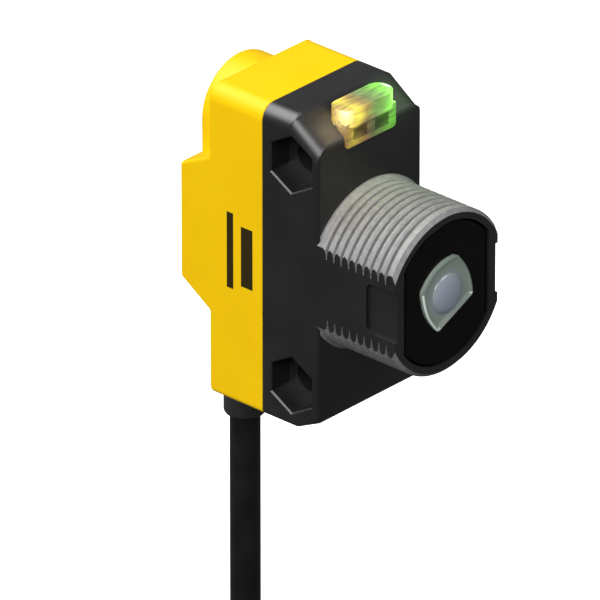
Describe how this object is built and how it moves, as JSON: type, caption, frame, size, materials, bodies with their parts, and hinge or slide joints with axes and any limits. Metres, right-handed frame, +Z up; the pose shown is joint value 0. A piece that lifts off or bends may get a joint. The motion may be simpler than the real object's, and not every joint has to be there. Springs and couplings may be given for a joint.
{
  "type": "photoelectric sensor",
  "caption": "Miniature photoelectric sensor: two-tone right-angle body, threaded barrel with flats and a square lens, indicator lamp window, gain adjuster and hanging cable",
  "frame": {"origin": "midway between the two cross holes, on the body's middle plane: the point the part is held at", "axes": "X across the 15.5 mm width, along the cross holes; -Y the way the barrel and lens point; +Z up, towards the indicator lamps, with the cable leaving downwards"},
  "size_m": [0.0261, 0.031, 0.1834],
  "materials": {
    "black_plastic": "fine matte moulded black plastic",
    "yellow_plastic": "satin moulded warm yellow plastic",
    "seal_rubber": "soft black seal",
    "dark_window": "glossy near-black filter plastic",
    "clear_acrylic": "clear moulded acrylic",
    "chip_black": "moulded component package",
    "board_green": "solder-masked circuit board",
    "brass_pin": "plated brass",
    "amber_lamp": "lit amber lamp",
    "green_lamp": "lit green lamp",
    "capacitor_tan": "moulded tan case",
    "pot_blue": "moulded blue case",
    "rotor_white": "off-white moulded adjuster",
    "cable_jacket": "matte black cable jacket",
    "clamp_steel": "formed steel clip",
    "wire_brown": "brown wire insulation",
    "wire_blue": "blue wire insulation",
    "wire_black": "black wire insulation",
    "wire_white": "white wire insulation",
    "tinned_copper": "tinned stranded copper"
  },
  "bodies": {
    "sensor": {"front_housing": "black_plastic", "rear_housing": "yellow_plastic", "housing_seal": "seal_rubber", "window": "dark_window", "window_seal": "seal_rubber", "objective_lens": "clear_acrylic", "lens_tube": "black_plastic", "light_stop": "black_plastic", "photodiode": "chip_black", "sensor_board": "board_green", "link_block": "black_plastic", "link_pins": "brass_pin", "main_board": "board_green", "indicator_lens": "clear_acrylic", "amber_led": "amber_lamp", "green_led": "green_lamp", "control_chip": "chip_black", "output_transistors": "chip_black", "capacitors": "capacitor_tan", "gain_pot_body": "pot_blue", "gain_seal": "seal_rubber", "cable_boot": "cable_jacket", "cable_clamp": "clamp_steel", "brown_wire": "wire_brown", "blue_wire": "wire_blue", "black_wire": "wire_black", "white_wire": "wire_white", "cable": "cable_jacket", "cable_hank": "cable_jacket", "hank_tie": "cable_jacket", "brown_lead": "wire_brown", "blue_lead": "wire_blue", "black_lead": "wire_black", "white_lead": "wire_white", "lead_tips": "tinned_copper"},
    "adjuster": {"gain_rotor": "rotor_white"}
  },
  "joints": [
    {"name": "gain_turn", "type": "hinge", "parent": "sensor", "child": "adjuster", "pos_m": [0, 0.0125, 0.012], "axis": [0, 1, 0], "range_deg": [-135, 135]}
  ]
}
